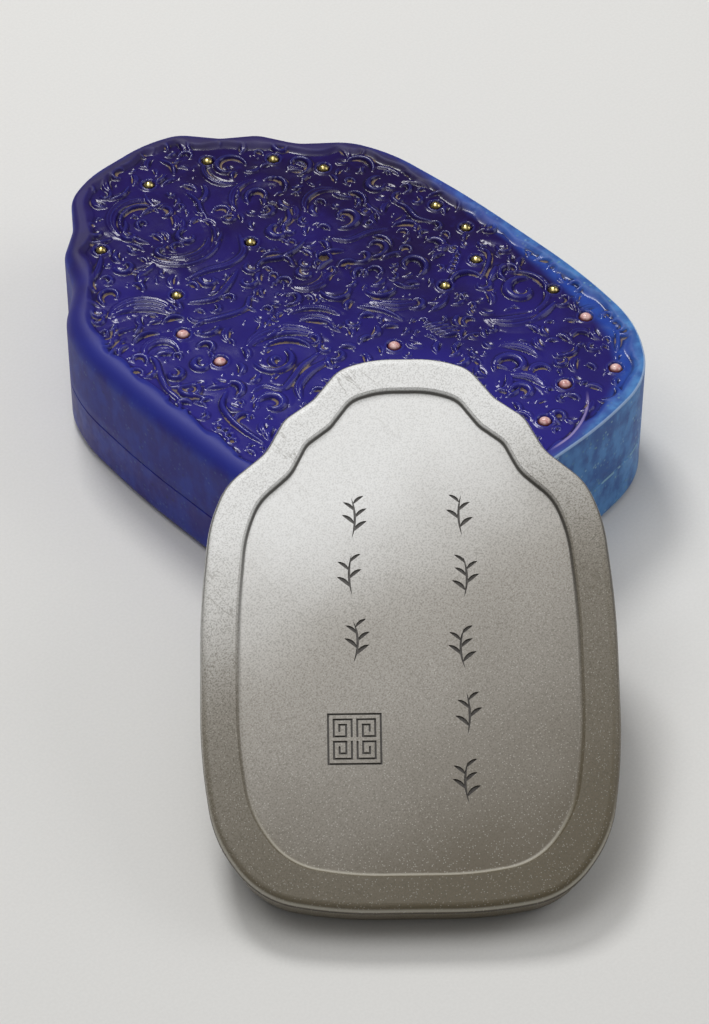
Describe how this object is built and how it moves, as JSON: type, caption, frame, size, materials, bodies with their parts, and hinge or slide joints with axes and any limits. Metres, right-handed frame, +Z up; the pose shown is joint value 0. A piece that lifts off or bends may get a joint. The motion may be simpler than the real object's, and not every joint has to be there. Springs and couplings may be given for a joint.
{
  "type": "ink stone with fitted case",
  "caption": "Ink stone slab with a lobed head, a rimmed back and an ink well, leaning on its closed fitted stone case with a carved cloud scroll lid set with small beads.",
  "frame": {"origin": "middle of the case's underside, on the table", "axes": "+Z up, +Y towards the lobed head of the case, +X to its right seen from above"},
  "size_m": [0.1936, 0.2525, 0.0644],
  "materials": {
    "grey_stone": "satin, finely speckled",
    "blue_stone": "polished, with ochre dust in the hollows",
    "gold_bead": "polished",
    "pink_bead": "glossy"
  },
  "bodies": {
    "case": {"case_base": "blue_stone"},
    "lid": {"case_lid": "blue_stone", "gold_bead_01": "gold_bead", "gold_bead_02": "gold_bead", "gold_bead_03": "gold_bead", "gold_bead_04": "gold_bead", "gold_bead_05": "gold_bead", "gold_bead_06": "gold_bead", "gold_bead_07": "gold_bead", "gold_bead_08": "gold_bead", "gold_bead_09": "gold_bead", "gold_bead_10": "gold_bead", "gold_bead_11": "gold_bead", "gold_bead_12": "gold_bead", "gold_bead_13": "gold_bead", "gold_bead_14": "gold_bead", "pink_bead_01": "pink_bead", "pink_bead_02": "pink_bead", "pink_bead_03": "pink_bead", "pink_bead_04": "pink_bead", "pink_bead_05": "pink_bead", "pink_bead_06": "pink_bead", "pink_bead_07": "pink_bead", "pink_bead_08": "pink_bead", "pink_bead_09": "pink_bead"},
    "stone": {"ink_stone": "grey_stone"}
  },
  "joints": [
    {"name": "lid_lift", "type": "slide", "parent": "case", "child": "lid", "axis": [0, 0, 1], "range_m": [0, 0.06]},
    {"name": "stone_lift", "type": "slide", "parent": "lid", "child": "stone", "axis": [-0.2504, -0.2714, 0.9293], "range_m": [0, 0.06]}
  ]
}
